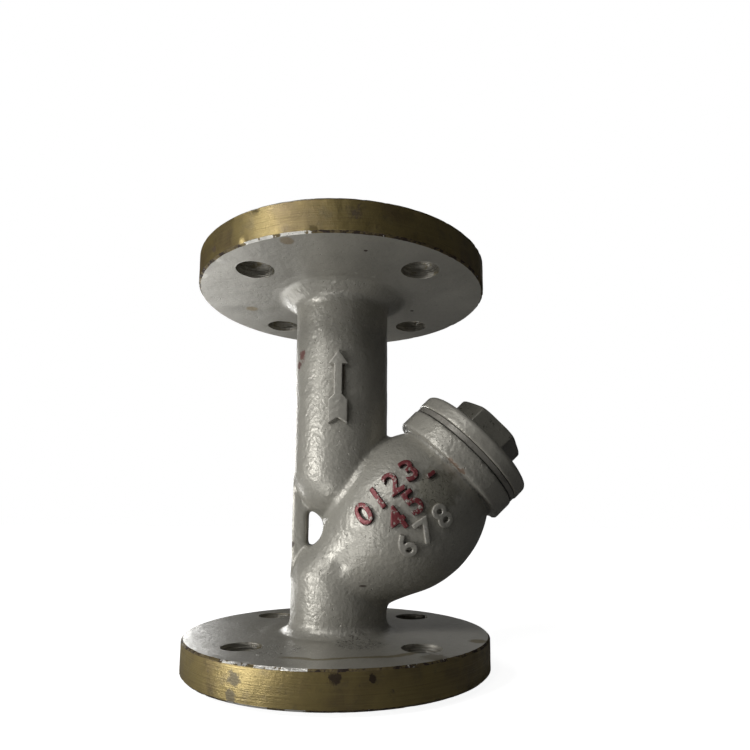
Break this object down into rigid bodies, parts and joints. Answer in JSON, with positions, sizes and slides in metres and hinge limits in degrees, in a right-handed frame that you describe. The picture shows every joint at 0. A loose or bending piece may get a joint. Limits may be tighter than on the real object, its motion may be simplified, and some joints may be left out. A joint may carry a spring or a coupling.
{
  "type": "y strainer",
  "caption": "Flanged Y strainer: cast body with a leaning chamber, a lift-out perforated screen and a screwed cover with a hexagon.",
  "frame": {"origin": "centre of the inlet flange's raised face", "axes": "+Z along the pipe run from inlet to outlet, +X towards the side the branch leans to, +Y completes the right-handed frame"},
  "size_m": [0.1297, 0.115, 0.16],
  "materials": {
    "painted_casting": "silver-grey paint over cast steel, turned rims in olive primer",
    "painted_cover": "silver-grey paint, worn dark on the hexagon",
    "gasket_ring": "steel guide ring with overspray",
    "winding_strip": "stainless strip",
    "graphite": "soft graphite filler",
    "stainless_sheet": "perforated stainless sheet",
    "stainless_ring": "stainless band",
    "stainless_mesh": "woven stainless wire cloth"
  },
  "bodies": {
    "body": {"body_casting": "painted_casting"},
    "screen": {"screen_perforated_sheet": "stainless_sheet", "screen_lower_ring": "stainless_ring", "screen_upper_ring": "stainless_ring", "screen_mesh_lining": "stainless_mesh"},
    "gasket": {"gasket_guide_ring": "gasket_ring", "gasket_steel_winding": "winding_strip", "gasket_graphite_filler": "graphite"},
    "cover": {"screen_cover": "painted_cover"}
  },
  "joints": [
    {"name": "screen_withdraw", "type": "slide", "parent": "body", "child": "screen", "axis": [0.7071, 0, 0.7071], "range_m": [0, 0.08]},
    {"name": "cover_rise", "type": "slide", "parent": "screen", "child": "gasket", "axis": [0.7071, 0, 0.7071], "range_m": [0, 0.013]},
    {"name": "cover_turn", "type": "hinge", "parent": "gasket", "child": "cover", "pos_m": [0, 0, 0.0325], "axis": [0.7071, 0, 0.7071], "range_deg": [0, 2340]}
  ],
  "couplings": [
    {"joint": "cover_rise", "follows": "cover_turn", "m_per_rad": 0.00031831}
  ]
}
